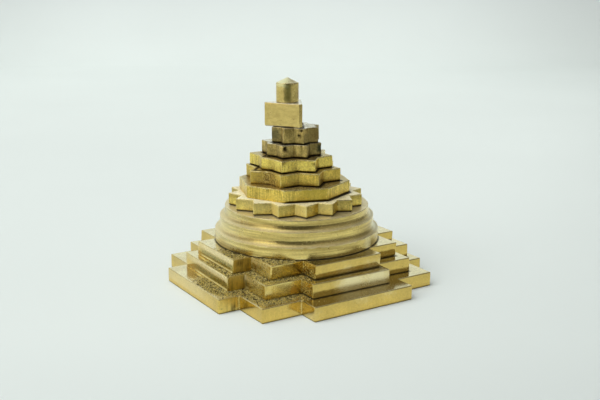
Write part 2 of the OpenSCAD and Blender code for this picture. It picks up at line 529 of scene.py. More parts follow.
def latheRingsGroup():
    # tool rings: noise drawn out round the axis and close across it, with broad bands under the fine
    tree, given = newGroup("latheRings", "Density", "Reach")
    parts = put(tree, "ShaderNodeSeparateXYZ", {"Vector": given["Vector"]}).outputs
    spoke = put(tree, "ShaderNodeCombineXYZ", {"X": parts[0], "Y": parts[1]}).outputs[0]
    flat = vectors(tree, "LENGTH", {0: spoke}, "Value")
    aim = vectors(tree, "NORMALIZE", {0: spoke})
    around = vectors(tree, "SCALE", {0: aim, "Scale": given["Reach"]})
    layers = []
    for share, detail in ((1.0, 3), (0.3, 2)):
        density = times(tree, given["Density"], share)
        lift = put(tree, "ShaderNodeCombineXYZ", {"Z": times(tree, parts[2], density)}).outputs[0]
        spot = vectors(tree, "ADD", {0: around, 1: lift})
        sockets = {"Vector": spot, "W": times(tree, flat, density), "Scale": 1.0,
                   "Detail": detail, "Roughness": 0.65}
        layers.append(put(tree, "ShaderNodeTexNoise", sockets, noise_dimensions="4D").outputs[0])
    both = blendValue(tree, 0.45, *layers)
    return giveOut(tree, Height=both, Streak=span(tree, both, 0.38, 0.64))


def grainDirtGroup():
    # grains of dust: specks that close up as the cover rises, dark and light by turns
    tree, given = newGroup("grainDirt", "Grain", "Cover")
    fine = noise(tree, given["Vector"], given["Grain"], 2, 0.6)
    coarse = noise(tree, given["Vector"], times(tree, given["Grain"], 0.37), 2, 0.6)
    specks = blendValue(tree, 0.25, fine, coarse)
    lifted = addTimes(tree, given["Cover"], 0.3, specks)
    shifted = mapped(tree, given["Vector"], Location=(31, 17, 5))
    tone = noise(tree, shifted, times(tree, given["Grain"], 1.45), 1)
    height = times(tree, specks, span(tree, given["Cover"], 0.0, 0.6))
    mask = span(tree, lifted, 0.62, 0.74)
    return giveOut(tree, Mask=mask, Height=height, Tone=span(tree, tone, 0.43, 0.58))


def tarnishCloudGroup():
    # slow cloudy change of a handled finish
    tree, given = newGroup("tarnishCloud", "Scale", "Amount")
    cloud = noise(tree, given["Vector"], given["Scale"], 4, 0.6, 0.4)
    return giveOut(tree, Mask=times(tree, span(tree, cloud, 0.36, 0.66), given["Amount"]))


def edgeWearGroup():
    # bare bright metal along a broken edge, thinning out where noise breaks it up
    tree, given = newGroup("edgeWear", "Edge", "Amount")
    breaks = span(tree, noise(tree, given["Vector"], 1.1, 3, 0.6), 0.3, 0.62, 0.25, 1.0)
    worn = times(tree, times(tree, given["Edge"], breaks), given["Amount"])
    return giveOut(tree, Mask=span(tree, worn, 0.1, 0.75))


def softPatchGroup():
    # a soft patch round a point, its rim broken by noise
    tree, given = newGroup("softPatch", "Centre", "Radius", "Amount", "Rag")
    far = vectors(tree, "DISTANCE", {0: given["Vector"], 1: given["Centre"]}, "Value")
    far = sums(tree, "DIVIDE", far, given["Radius"])
    breaks = sums(tree, "SUBTRACT", noise(tree, given["Vector"], 1.4, 3, 0.6), 0.5)
    ragged = addTimes(tree, breaks, given["Rag"], far)
    return giveOut(tree, Mask=times(tree, span(tree, ragged, 1.1, 0.3), given["Amount"]))


def facetToneGroup():
    # a tone that changes from facet to facet: slow noise in plan, almost the same all the way up
    tree, given = newGroup("facetTone", "Scale", "Amount")
    plan = mapped(tree, given["Vector"], Scale=(1, 1, 0.03))
    slow = span(tree, noise(tree, plan, given["Scale"], 1), 0.4, 0.6)
    return giveOut(tree, Mask=times(tree, slow, given["Amount"]))


cutStrokes = cutStrokesGroup()
latheRings = latheRingsGroup()
grainDirt = grainDirtGroup()
tarnishCloud = tarnishCloudGroup()
edgeWear = edgeWearGroup()
softPatch = softPatchGroup()
facetTone = facetToneGroup()
print("shared effects made")


def patchMask(tree, vector, centre, radius, amount, rag=0.9):
    # one use of the soft patch group
    sockets = {"Vector": vector, "Centre": centre, "Radius": radius, "Amount": amount, "Rag": rag}
    return place(tree, softPatch, sockets)["Mask"]


plainFinish = {  # what a finish has where its own dictionary says nothing else
    "marks": "strokes", "cloudRough": 0.08, "cloudScale": 0.4, "facet": 0.0, "facetScale": 0.2,
    "speckScale": 3.0, "browShade": 0.0, "footShade": 0.0, "nookShade": 0.3, "film": 0.0, "litWallShade": None,
    "grain": 2.6, "footDirt": 0.12, "nookDirt": 0.2, "gapShadow": 0.92,
    "stainsAndLight": [], "topStainsAndLight": [], "scores": [], "soil": [], "grit": [], "litWall": [],
    "scoreRough": 0.25, "scoreFresh": 0.7, "stainAndLightRough": 0.12, "bareShare": 0.7, "bareRough": 0.16,
    "litWallRag": 0.1, "litWallRough": 0.2, "litWallFilm": 0.6, "litWallSoft": 0.15, "litWallShadeFilm": 0.3, "litWallFootFilm": 0.6,
    "gritSoft": 0.15, "dirtRough": 0.62, "dirtMetal": 0.6, "dirtHeight": 0.1, "rippleScale": 0.45,
    "gapShadowFrom": 0.6, "gapShadowSoft": 0.22, "gapShadowColour": (0.035, 0.022, 0.006, 1), "gapShadowRough": 0.6,
}


def brass(name, look):
    # one finish: face and wall colours, marks of the tool, tarnish, stains, painted shade and light, worn
    # edges and dust
    look = {**plainFinish, **look}
    material, tree = newFinish(name)
    vector = millimetres(tree)
    wall, edge, foot, nook, rise, left, gap = [
        markOf(tree, mark) for mark in ("wall", "edge", "foot", "nook", "rise", "left", "gapShadow")
    ]
    flat = sums(tree, "SUBTRACT", 1.0, wall)
    if look["marks"] == "rings":
        upright = span(tree, wall, 0.02, 0.75)  # a cove is worn almost as bright as its band
        sockets = {"Vector": vector, "Density": look["density"], "Reach": look["ringReach"]}
        marks = place(tree, latheRings, sockets)
        marked = times(tree, marks["Streak"], span(tree, wall, 0.3, 0.9))
        cutDepth = times(tree, marks["Height"], look["markDepth"])
    else:
        upright = wall
        marks = place(tree, cutStrokes, {"Vector": vector, "Density": look["density"]})
        marked = times(tree, marks["Streak"], wall)
        cutDepth = times(tree, times(tree, marks["Height"], look["markDepth"]), wall)
    sockets = {"Vector": vector, "Scale": look["cloudScale"], "Amount": look["cloud"]}
    cloud = place(tree, tarnishCloud, sockets)["Mask"]
    sockets = {"Vector": vector, "Scale": look["facetScale"], "Amount": look["facet"]}
    facet = place(tree, facetTone, sockets)["Mask"]
    worn = place(tree, edgeWear, {"Vector": vector, "Edge": edge, "Amount": look["wear"]})["Mask"]

    # clean metal, then its streaks, facets and tarnish, painted shade, and stains and painted highlights and
    # reflections
    colour = blendColour(tree, upright, look["face"], look["cut"])
    rough = blendValue(tree, upright, look["faceRough"], look["cutRough"])
    score = look["streak"]
    for spot in look["scores"]:
        patch = patchMask(tree, vector, *spot)
        score = sums(tree, "ADD", patch, score)
        rough = addTimes(tree, patch, look["scoreRough"], rough)
        fresh = times(tree, patch, look["scoreFresh"])
        colour = blendColour(tree, fresh, colour, look["fresh"])  # fresh metal between the strokes
    colour = blendColour(tree, times(tree, marked, score), colour, look["streakColour"])
    colour = blendColour(tree, times(tree, facet, wall), colour, look["tarnish"])
    colour = blendColour(tree, cloud, colour, look["tarnish"])
    # painted shade in the tarnish colour: darker towards the brow, towards the foot and in the nooks
    shade = times(tree, span(tree, rise, 0.2, 1.0), look["browShade"])
    low = times(tree, span(tree, rise, 0.75, 0.0), wall)
    shade = addTimes(tree, low, look["footShade"], shade)
    shade = addTimes(tree, nook, look["nookShade"], shade)
    colour = blendColour(tree, shade, colour, look["tarnish"])
    speck = noise(tree, vector, look["speckScale"], 2, 0.7)
    speck = span(tree, speck, 0.3, 0.7, 1 - look["speck"], 1 + look["speck"])
    colour = blendColour(tree, 1.0, colour, speck, "MULTIPLY")
    rough = addTimes(tree, cloud, look["cloudRough"], rough)
    # stains, and painted highlights and reflections, each a soft patch of colour
    for *spot, tone in look["stainsAndLight"]:
        patch = patchMask(tree, vector, *spot)
        colour = blendColour(tree, patch, colour, tone)
        rough = addTimes(tree, patch, look["stainAndLightRough"], rough)
    # stains and painted light on the flat tops only
    for *spot, tone in look["topStainsAndLight"]:
        colour = blendColour(tree, times(tree, patchMask(tree, vector, *spot), flat), colour, tone)
    film = times(tree, flat, look["film"])  # dry film that dulls a clean top
    # painted light and reflection on the walls that face left: a pale band high up, a darker band under it
    # and a gold strip at the foot
    if look["litWall"]:
        litWall = 0.0
        for spot in look["litWall"]:
            litWall = sums(tree, "ADD", patchMask(tree, vector, *spot, look["litWallRag"]), litWall)
        litWall = times(tree, litWall, left)
        start = look["litWallFrom"]
        litWallColour = times(tree, litWall, span(tree, rise, start - look["litWallSoft"], start + look["litWallSoft"]))
        colour = blendColour(tree, litWallColour, colour, look["litWallColour"])  # painted reflection of the pale floor high on the walls that face left, rougher and with a matt film
        rough = addTimes(tree, litWallColour, look["litWallRough"], rough)
        film = addTimes(tree, litWallColour, look["litWallFilm"], film)
    if look["litWallShade"]:
        thick = span(tree, litWall, 0.3, 0.5)
        breaks = span(tree, noise(tree, vector, 2.4, 2, 0.7), 0.35, 0.6, 0.35, 1.0)
        litWallShade = times(tree, span(tree, rise, 0.15, 0.28), span(tree, rise, 0.7, 0.5))
        litWallShade = times(tree, times(tree, litWallShade, thick), breaks)
        colour = blendColour(tree, litWallShade, colour, look["litWallShade"])  # a painted darker band under the pale one, where the floor beyond the edge is mirrored
        litWallFoot = times(tree, thick, span(tree, rise, 0.26, 0.1))
        colour = blendColour(tree, litWallFoot, colour, look["litWallFoot"])  # and a painted gold strip at the foot, where the top below is mirrored
        film = addTimes(tree, litWallFoot, look["litWallFootFilm"], film)
        film = addTimes(tree, litWallShade, look["litWallShadeFilm"], film)
    colour = blendColour(tree, worn, colour, look["bare"])
    rough = blendValue(tree, times(tree, worn, look["bareShare"]), rough, look["bareRough"])

    # dust: in the nooks and at the foot, and in patches that lie thickest beside the next layer
    cover = times(tree, nook, look["nookDirt"])
    cover = addTimes(tree, foot, look["footDirt"], cover)
    near = span(tree, sums(tree, "POWER", foot, 0.3), 0.15, 0.6)
    near = times(tree, near, flat)
    for spot in look["soil"]:
        cover = sums(tree, "ADD", cover, times(tree, patchMask(tree, vector, *spot), near))
    for *spot, upTo in look["grit"]:
        patch = times(tree, patchMask(tree, vector, *spot), span(tree, left, 0.3, 0.7))
        below = span(tree, rise, upTo + look["gritSoft"], upTo - look["gritSoft"])
        cover = sums(tree, "ADD", cover, times(tree, patch, below))
    dirt = place(tree, grainDirt, {"Vector": vector, "Grain": look["grain"], "Cover": cover})
    dust = blendColour(tree, dirt["Tone"], look["dirt"], look["dust"])
    colour = blendColour(tree, dirt["Mask"], colour, dust)
    rough = blendValue(tree, dirt["Mask"], rough, look["dirtRough"])
    metal = blendValue(tree, dirt["Mask"], sums(tree, "SUBTRACT", 1.0, film), look["dirtMetal"])

    # the painted shadow in the gap under and beside the next layer, then the relief
    gapShadow = span(tree, gap, look["gapShadowFrom"], look["gapShadowFrom"] + look["gapShadowSoft"])
    gapShadow = times(tree, gapShadow, look["gapShadow"])
    colour = blendColour(tree, gapShadow, colour, look["gapShadowColour"])
    rough = blendValue(tree, gapShadow, rough, look["gapShadowRough"])
    height = addTimes(tree, noise(tree, vector, look["rippleScale"], 2), look["ripple"], cutDepth)
    height = addTimes(tree, dirt["Height"], look["dirtHeight"], height)
    bump = put(tree, "ShaderNodeBump", {"Height": height, "Strength": 1.0, "Distance": mm}).outputs[0]
    sockets = {"Base Color": colour, "Metallic": metal, "Roughness": rough, "Normal": bump}
    showAs(tree, put(tree, "ShaderNodeBsdfPrincipled", sockets).outputs[0])
    return material


def grains(name, look):
    # specks of dust and filings, dark to bright by each grain's own tone
    material, tree = newFinish(name)
    mottle = span(tree, noise(tree, millimetres(tree), 6.0), 0.3, 0.6, 0.7, 1.0)
    tone = times(tree, markOf(tree, "tone"), mottle)
    colour = blendColour(tree, tone, look["dirt"], look["dust"])
    rough = span(tree, tone, 0.0, 1.0, look["dirtRough"], look["dustRough"])
    metal = span(tree, tone, 0.2, 0.8, look["dirtMetal"], look["dustMetal"])
    sockets = {"Base Color": colour, "Metallic": metal, "Roughness": rough}
    showAs(tree, put(tree, "ShaderNodeBsdfPrincipled", sockets).outputs[0])
    return material


# the square plates; a spot is a place in mm, a radius and an amount, then its colour or its top end

plateFinish = {
    "face": (0.99, 0.88, 0.52, 1), "cut": (0.84, 0.60, 0.155, 1), "bare": (0.92, 0.76, 0.34, 1),
    "fresh": (1.0, 0.78, 0.22, 1), "streakColour": (0.12, 0.085, 0.02, 1),
    "tarnish": (0.50, 0.37, 0.12, 1), "dirt": (0.11, 0.078, 0.016, 1), "dust": (0.82, 0.65, 0.17, 1),
    "faceRough": 0.14, "cutRough": 0.14,
    "density": 1.6, "streak": 0.1, "markDepth": 0.02, "ripple": 0.004,
    "cloud": 0.25, "cloudScale": 0.25, "facet": 0.15, "facetScale": 0.12, "wear": 0.42,
    "speck": 0.08, "speckScale": 2.4, "browShade": 0.35, "nookShade": 0.4, "gapShadow": 0.6,
    "grain": 3.3, "footDirt": 0.1, "nookDirt": 0.25,
    "stainsAndLight": [((-0.5, -21.6, 4.4), 4.4, 0.85, (1.0, 0.88, 0.52, 1)),
               ((5.5, -21.6, 4.4), 4.4, 0.85, (1.0, 0.88, 0.52, 1)),
               ((-13.5, -17.3, 5.3), 4.5, 0.65, (1.0, 0.82, 0.30, 1)),
               ((-17.4, -13.5, 4.5), 4.0, 0.6, (1.0, 0.88, 0.40, 1)),
               ((-15.4, -11.8, 7.5), 3.5, 0.5, (1.0, 0.88, 0.40, 1)),
               ((-12.0, -15.3, 7.5), 3.5, 0.4, (1.0, 0.82, 0.26, 1)),
               ((-11.7, -22.7, 1.3), 3.0, 0.3, (0.95, 0.85, 0.50, 1)),
               # an orange spot: painted reflection of the top below
               ((-11.3, -17.1, 4.0), 1.3, 0.9, (0.98, 0.62, 0.12, 1))],
    "scores": [((-22.7, -11.7, 1.5), 3.4, 0.9), ((-19.3, -9.1, 4.5), 3.4, 0.8),
               ((-17.5, -7.9, 7.5), 3.4, 0.9)],
    "soil": [((-22.5, -5, 3), 8.5, 1.1), ((-19.5, -5, 5), 7.5, 1.1), ((-15, -15, 4), 8.5, 1.1),
             ((-12, -13, 9), 7.0, 0.8)],
    "grit": [((-15.3, -11.5, 7.5), 4.0, 0.45, 1.5), ((-17.3, -13, 4.3), 4.0, 0.45, 1.5),
             ((-7.85, -17.5, 7.5), 3.4, 0.5, 1.5), ((-9.1, -19.3, 4.5), 3.4, 0.5, 1.5)],
    # painted light and reflection on the walls that face left: its patches, the height where the pale band
    # starts, and its colours
    "litWall": [((-20.5, -2, 6.5), 15.0, 0.55)], "litWallFrom": 0.6, "litWallColour": (0.90, 0.82, 0.52, 1),
    "litWallShade": (0.25, 0.22, 0.055, 1), "litWallFoot": (1.0, 0.90, 0.40, 1),
}
plateBrass = brass("plateBrass", plateFinish)

lowerPlate = {
    "node": "lower_square_plate", "above": "middle_square_plate", "slot": "plate_brass",
    "corner": 0.22, "foot": 0.14, "brow": 0.18, "sideSteps": 22, "wave": 0.012, "seed": 11,
    "nicks": 14, "topFade": 0.9,
}
# the lower plate has fainter painted light, starting lower on its left walls, and no dark band
lowerFinish = dict(plateFinish, litWall=[((-25, 4, 1.5), 14.0, 0.3)], litWallFrom=0.3, litWallShade=None)
lowerBrass = brass("lowerBrass", lowerFinish)
cutPlate("lowerPlate", lowerPlate, lowerBrass)

middlePlate = {
    "node": "middle_square_plate", "above": "upper_square_plate", "slot": "plate_brass",
    "corner": 0.22, "foot": 0.16, "brow": 0.16, "sideSteps": 22, "wave": 0.014, "seed": 12,
    "slant": (0, -0.05), "nicks": 14, "footFade": 0.9, "topFade": 0.9,
}
cutPlate("middlePlate", middlePlate, plateBrass)

upperPlate = {
    "node": "upper_square_plate", "above": "ring_disc", "slot": "plate_brass",
    "corner": 0.22, "foot": 0.26, "brow": 0.16, "sideSteps": 22, "wave": 0.014, "seed": 13,
    "slant": (0, 0.35), "nicks": 12, "footFade": 0.9,
}
cutPlate("upperPlate", upperPlate, plateBrass)

grainFinish = {
    "dirt": (0.06, 0.042, 0.012, 1), "dust": (1.0, 0.86, 0.34, 1),
    "dirtRough": 0.8, "dustRough": 0.4, "dirtMetal": 0.1, "dustMetal": 0.8,
}
grainBrass = grains("grainBrass", grainFinish)

lowerGrains = {
    "on": lowerPlate, "reach": 1.3, "seed": 71,
    "patches": [((-22.8, -4.5), 3.2, 2600), ((-18.8, -13.5), 2.8, 2200), ((-14.0, -18.0), 2.0, 700)],
}
looseGrains("lowerGrains", lowerGrains, grainBrass)

middleGrains = {
    "on": middlePlate, "reach": 1.3, "seed": 72,
    "patches": [((-20.3, -3.5), 2.8, 2200), ((-16.3, -11.3), 2.4, 1800), ((-12.3, -15.5), 2.0, 700)],
}
looseGrains("middleGrains", middleGrains, grainBrass)

upperGrains = {
    "on": upperPlate, "reach": 1.6, "seed": 73,
    "patches": [((-17.8, -4.5), 1.8, 600), ((-14.3, -11.6), 1.8, 1500), ((-10.5, -14.5), 1.6, 400)],
}
looseGrains("upperGrains", upperGrains, grainBrass)


# the turned disc

discFinish = {
    "face": (0.90, 0.78, 0.44, 1), "cut": (0.90, 0.71, 0.245, 1), "bare": (0.90, 0.78, 0.46, 1),
    "streakColour": (0.38, 0.27, 0.075, 1), "tarnish": (0.50, 0.38, 0.14, 1),
    "dirt": (0.12, 0.08, 0.025, 1), "dust": (0.50, 0.41, 0.20, 1),
    "faceRough": 0.42, "cutRough": 0.25, "film": 0.28,
    "marks": "rings", "density": 2.8, "ringReach": 1.5, "streak": 0.85, "markDepth": 0.016, "ripple": 0.008,
    "cloud": 0.15, "wear": 0.6, "speck": 0.1,
    "stainsAndLight": [((8.5, -14.5, 11), 6.0, 0.4, (0.42, 0.30, 0.09, 1)),
               ((-17.2, 3, 12), 10.0, 0.3, (0.92, 0.84, 0.52, 1)),
               # a near-white patch at the disc's right edge: painted highlight
               ((13.6, -10.2, 12.2), 5.0, 0.8, (1.0, 0.95, 0.70, 1)),
               ((7.4, -15.8, 10.3), 1.8, 0.4, (0.92, 0.84, 0.52, 1)),
               ((-6.6, -16.1, 9.1), 0.8, 0.6, (0.26, 0.17, 0.05, 1))],
    "topStainsAndLight": [((0, 0, 16.5), 16.0, 0.6, (0.66, 0.54, 0.27, 1))],
}
turnedBrass = brass("turnedBrass", discFinish)

ringDisc = {
    "node": "ring_disc", "slot": "turned_brass",
    "corner": 0.14, "sideSteps": 6, "turnSteps": 288, "wave": 0.004, "seed": 21, "sweep": 1.35,
    "dents": [(-113, 0.0, 0.45, 0.2), (-111, 0.0, 0.45, 0.2)],
}
turnedPiece("ringDisc", ringDisc, turnedBrass)


# the sixteen point plate, the octagon and the two bright stars

starFinish = {
    "face": (0.80, 0.66, 0.32, 1), "cut": (0.97, 0.72, 0.15, 1), "bare": (0.90, 0.76, 0.34, 1),
    "streakColour": (0.34, 0.23, 0.035, 1), "tarnish": (0.44, 0.32, 0.08, 1),
    "dirt": (0.12, 0.08, 0.025, 1), "dust": (0.50, 0.38, 0.12, 1),
    "faceRough": 0.4, "cutRough": 0.32, "cloudRough": 0.1,
    "density": 1.7, "streak": 0.65, "markDepth": 0.025, "ripple": 0.006,
    "cloud": 0.25, "facet": 0.25, "facetScale": 0.22, "wear": 0.9,
    "speck": 0.2, "footShade": 0.25, "nookShade": 0.35,
}
# the sixteen point plate: painted shade high on its walls and painted light on all the walls that face left
sixteenFinish = dict(
    starFinish, face=(0.94, 0.85, 0.54, 1), cut=(0.98, 0.77, 0.19, 1), film=0.8, browShade=0.9,
    footShade=0.0, gapShadowFrom=0.5, litWallColour=(0.95, 0.80, 0.30, 1), litWall=[((-8, -10, 17.8), 14.0, 0.65)], litWallFrom=-1,
    # a near-white patch on the left of the top: painted light over the pale dusty film
    topStainsAndLight=[((-12.5, -3, 19.1), 9.0, 0.95, (1.0, 0.96, 0.68, 1))],
)
sixteenBrass = brass("sixteenBrass", sixteenFinish)

octagonFinish = dict(
    starFinish, density=2.3, streak=1.0, gapShadowFrom=0.46,
    stainsAndLight=[((-2.5, -10.4, 20.2), 4.5, 0.6, (0.56, 0.42, 0.06, 1))],
    soil=[((-2.5, -9.5, 21.75), 7.0, 0.8)],
)
octagonBrass = brass("octagonBrass", octagonFinish)

firstFinish = dict(
    starFinish, cut=(0.84, 0.60, 0.115, 1), dirt=(0.22, 0.14, 0.03, 1), dust=(0.62, 0.46, 0.12, 1),
    stainsAndLight=[((-9.3, -1.2, 23.2), 3.4, 0.6, (0.46, 0.32, 0.07, 1)),
            ((-8.0, -2.8, 24.3), 1.2, 0.7, (0.20, 0.11, 0.02, 1)),
            ((-8.0, -4.0, 22.0), 1.2, 0.7, (0.20, 0.11, 0.02, 1)),
            ((-8.5, -2.0, 22.6), 1.0, 0.7, (0.22, 0.13, 0.025, 1))],
    grit=[((-7.6, -3.2, 23.0), 3.0, 0.6, 1.5), ((-9.6, -0.8, 22.6), 2.0, 0.4, 1.5)],
)
firstBrass = brass("firstBrass", firstFinish)

secondFinish = dict(starFinish, cut=(1.0, 0.78, 0.17, 1), streak=0.45, facet=0.1, footShade=0.05)
secondBrass = brass("secondBrass", secondFinish)

sixteenPoint = {
    "node": "sixteen_point_plate", "above": "octagon_plate", "slot": "star_brass",
    "corner": 0.14, "foot": 0.34, "brow": 0.13, "sideSteps": 12, "wave": 0.03, "seed": 31,
    "nicks": 40, "lean": 2.2, "topFade": 0.95,
}
cutPlate("sixteenPoint", sixteenPoint, sixteenBrass)

octagon = {
    "node": "octagon_plate", "above": "first_star_plate", "slot": "star_brass",
    "corner": 0.2, "foot": 0.16, "brow": 0.13, "sideSteps": 40, "wave": 0.02, "seed": 32,
    "nicks": 14, "footFade": 0.95, "topFade": 0.8,
}
cutPlate("octagon", octagon, octagonBrass)

firstStar = {
    "node": "first_star_plate", "above": "second_star_plate", "slot": "star_brass",
    "corner": 0.16, "foot": 0.24, "brow": 0.13, "sideSteps": 18, "wave": 0.03, "seed": 33,
    "nicks": 30, "footFade": 0.8,
}
cutPlate("firstStar", firstStar, firstBrass)

secondStar = {
    "node": "second_star_plate", "above": "third_star_plate", "slot": "star_brass",
    "corner": 0.16, "foot": 0.34, "brow": 0.13, "sideSteps": 18, "wave": 0.03, "seed": 34,
    "nicks": 26, "trims": [(181.6, 1.7)], "dents": [(-132, 2.5, 0.4, 0.25), (-89, 2.1, 0.35, 0.15)],
}
cutPlate("secondStar", secondStar, secondBrass)


# the two tarnished stars

dullFinish = {
    "face": (0.98, 0.93, 0.70, 1), "cut": (0.84, 0.62, 0.20, 1), "bare": (0.76, 0.60, 0.25, 1),
    "streakColour": (0.26, 0.18, 0.045, 1), "tarnish": (0.24, 0.18, 0.06, 1),
    "dirt": (0.05, 0.04, 0.015, 1), "dust": (0.28, 0.22, 0.09, 1),
    "faceRough": 0.22, "cutRough": 0.36, "cloudRough": 0.12, "film": 0.2,
    "density": 1.7, "streak": 0.75, "markDepth": 0.02, "ripple": 0.006,
    "cloud": 0.6, "cloudScale": 0.5, "facet": 0.55, "facetScale": 0.3, "wear": 0.45,
    "speck": 0.25, "footShade": 0.25, "gapShadowFrom": 0.5,
    "stainsAndLight": [((-5.07, -3.84, 29.09), 0.75, 1.0, (0.025, 0.02, 0.008, 1)),
               ((3.07, -4.27, 28.58), 1.4, 0.9, (0.03, 0.04, 0.02, 1)),
               ((-4.85, 0.68, 31.5), 2.0, 0.75, (0.07, 0.075, 0.04, 1)),
               ((2.2, -3.8, 31.4), 2.0, 0.6, (0.16, 0.10, 0.035, 1)),
               ((-1.98, -4.09, 31.6), 0.45, 1.0, (0.03, 0.025, 0.01, 1)),
               ((-1.75, -4.48, 32.7), 0.5, 1.0, (0.04, 0.03, 0.012, 1))],
}
dullBrass = brass("dullBrass", dullFinish)

thirdStar = {
    "node": "third_star_plate", "above": "fourth_star_plate", "slot": "dull_brass",
    "corner": 0.16, "foot": 0.32, "brow": 0.13, "sideSteps": 16, "wave": 0.035, "seed": 41,
    "nicks": 22, "trims": [(177, 0.8)], "dents": [(-133, 2.05, 0.45, 0.3), (-45, 1.6, 0.6, 0.15)],
}
cutPlate("thirdStar", thirdStar, dullBrass)

fourthStar = {
    "node": "fourth_star_plate", "above": "triangle_block", "slot": "dull_brass",
    "corner": 0.16, "foot": 0.32, "brow": 0.13, "sideSteps": 16, "wave": 0.035, "seed": 42,
    "nicks": 18, "dents": [(-113, 1.9, 0.3, 0.2), (-109, 3.1, 0.45, 0.25)],
}
cutPlate("fourthStar", fourthStar, dullBrass)


# the triangle block and the bindu

crownFinish = {
    "face": (0.97, 0.86, 0.50, 1), "cut": (0.80, 0.61, 0.21, 1), "bare": (0.82, 0.66, 0.28, 1),
    "streakColour": (0.46, 0.33, 0.10, 1), "tarnish": (0.58, 0.44, 0.15, 1),
    "dirt": (0.07, 0.055, 0.02, 1), "dust": (0.40, 0.32, 0.14, 1),
    "faceRough": 0.2, "cutRough": 0.24, "film": 0.3,
    "marks": "rings", "density": 1.7, "ringReach": 1.2, "streak": 0.6, "markDepth": 0.006, "ripple": 0.004,
    "cloud": 0.15, "wear": 0.5, "speck": 0.03, "speckScale": 2.4, "browShade": 0.2, "footDirt": 0.1,
    "gapShadow": 0.3,
    "stainsAndLight": [((-1.6, 1.0, 39.3), 2.9, 0.75, (0.44, 0.34, 0.11, 1)),
               ((0.6, -0.6, 39.8), 1.8, 0.5, (0.36, 0.22, 0.08, 1)),
               # a dark stripe down the stud's front-left side: painted reflection
               ((-2.7, -1.0, 38.6), 1.0, 0.7, (0.22, 0.19, 0.05, 1)),
               ((-2.7, -1.0, 39.6), 1.0, 0.7, (0.22, 0.19, 0.05, 1)),
               ((-2.7, -1.0, 40.6), 1.0, 0.6, (0.26, 0.23, 0.06, 1)),
               ((-2.7, -1.0, 41.4), 1.0, 0.7, (0.22, 0.19, 0.05, 1)),
               # a pale spot high on the left of the cone: painted highlight
               ((-3.0, 0.4, 42.6), 2.0, 1.0, (1.0, 0.97, 0.54, 1))],
    # near-white over the crown's upward faces: painted highlight
    "topStainsAndLight": [((-1.4, 0.9, 34.5), 9.0, 0.9, (1.0, 0.98, 0.86, 1))],
}
crownBrass = brass("crownBrass", crownFinish)

triangleBlock = {
    "node": "triangle_block", "slot": "crown_brass",
    "corner": 0.2, "foot": 0.3, "brow": 0.16, "sideSteps": 40, "wave": 0.012, "seed": 51, "nicks": 5,
}
cutPlate("triangleBlock", triangleBlock, crownBrass)

bindu = {
    "node": "bindu", "slot": "crown_brass",
    "corner": 0.22, "sideSteps": 10, "turnSteps": 144, "wave": 0.004, "seed": 61, "sweep": 1.0,
}
turnedPiece("binduStud", bindu, crownBrass)


# floor, backdrop, light and camera

studio = {
    "paper": (0.76, 0.82, 0.80, 1), "mottle": 0.985, "away": (0.5361, 0.8441),
    "floorReach": 6.0, "floorLow": -0.00002, "floorSteps": 9, "backdropLow": -0.0004, "bowSteps": 24,
    "backdropFar": 0.52, "backdropWide": 0.75, "backdropHigh": 1.1, "sweep": 0.25,
    # a painted falloff of the light, darkening the paper's tone
    "falls": [("slope", 0.0, 0.14, 0.8), ("aside", 0.05, 0.4, 0.66), ("aside", -0.15, -0.4, 0.82),
              ("depth", 0.3, 0.8, 0.95), ("depth", -0.03, -0.07, 0.95)],  # way, start, end, what is left
    "evenFrom": 0.5, "cornerDark": -0.7, "topTone": 0.92,
    "keyPower": 1.45, "keyAngle": 60.0, "keyTilt": 33.0, "keyTurn": -92.0,
    "room": (1.0, 1.0, 0.97, 1), "roomLevel": 0.36, "dimLevel": 0.18, "wallLevel": 0.5,
    "ceilingLevel": 0.1, "windowLevel": 1.7, "mirrorLevel": 0.95, "bandLevel": 0.3,
    "windowJamb": (0.01, -0.927, 0.375),
    "flagFar": 0.27, "flagHalf": 0.17, "flagHigh": 0.5,
    "cloth": (0.09, 0.09, 0.09, 1), "clothThread": (0.14, 0.14, 0.14, 1),
    "lens": 51.555, "sensor": 36, "cameraPlace": (-0.0949, -0.15071, 0.06035),
    "cameraTurn": (76.313, -0.046, -32.422), "nearest": 0.01, "farthest": 20,
}
away = np.array([*studio["away"], 0])
right = np.array([studio["away"][1], -studio["away"][0], 0])
skyward = np.array([0, 0, 1])


